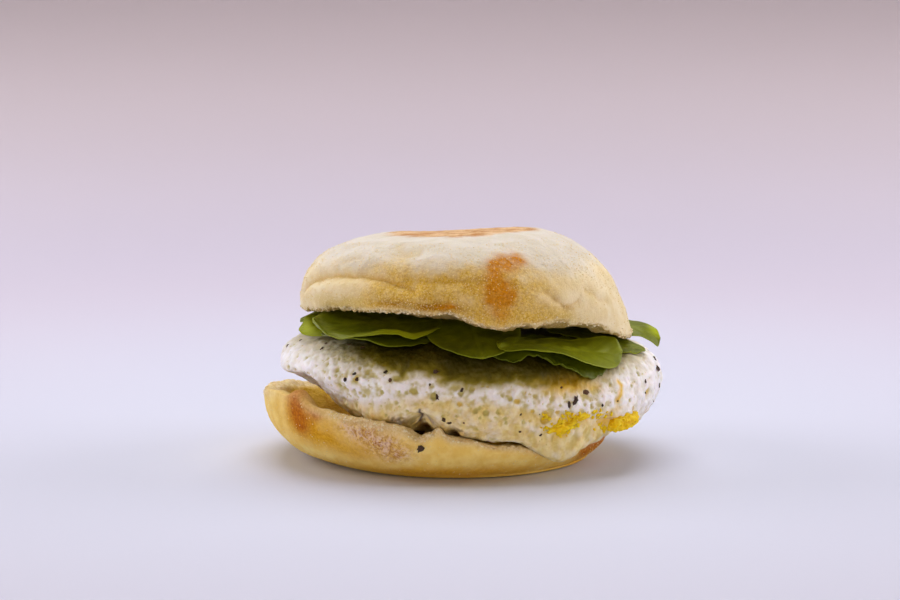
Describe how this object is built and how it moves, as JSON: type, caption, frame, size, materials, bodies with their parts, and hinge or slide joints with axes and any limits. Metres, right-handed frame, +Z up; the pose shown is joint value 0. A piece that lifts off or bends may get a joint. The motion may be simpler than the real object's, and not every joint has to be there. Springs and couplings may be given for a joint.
{
  "type": "breakfast sandwich",
  "caption": "Split English muffin with a thick speckled egg patty and spinach leaves sticking out between the halves; the egg sags over the front right rim.",
  "frame": {"origin": "middle of the outline seen from above, at the height of the flat underside it rests on", "axes": "+Z up, towards the crown of the muffin; +X to the right as seen from the front, where the egg sticks out furthest; +Y to the back; the front, with the sagging egg and the yolk, faces -Y"},
  "size_m": [0.1158, 0.0994, 0.0661],
  "materials": {
    "muffin_crust": "soft floured bread crust, toasted brown in places",
    "muffin_heel": "golden toasted bread crust",
    "egg_white": "moist cooked egg white with small bubbles and pepper",
    "egg_yolk": "crumbly cooked yolk",
    "spinach": "satin leaf"
  },
  "bodies": {
    "root": {"muffin_crown": "muffin_crust", "muffin_heel": "muffin_heel", "egg_white": "egg_white", "egg_yolk_side": "egg_yolk", "egg_yolk_front": "egg_yolk", "spinach_right_low": "spinach", "spinach_front_right_low": "spinach", "spinach_front_left_low": "spinach", "spinach_back_left": "spinach", "spinach_back_right": "spinach", "spinach_back": "spinach", "spinach_left_back": "spinach", "spinach_far_left": "spinach", "spinach_front_middle": "spinach", "spinach_front_left": "spinach", "spinach_front_right": "spinach", "spinach_far_right": "spinach"}
  },
  "joints": []
}
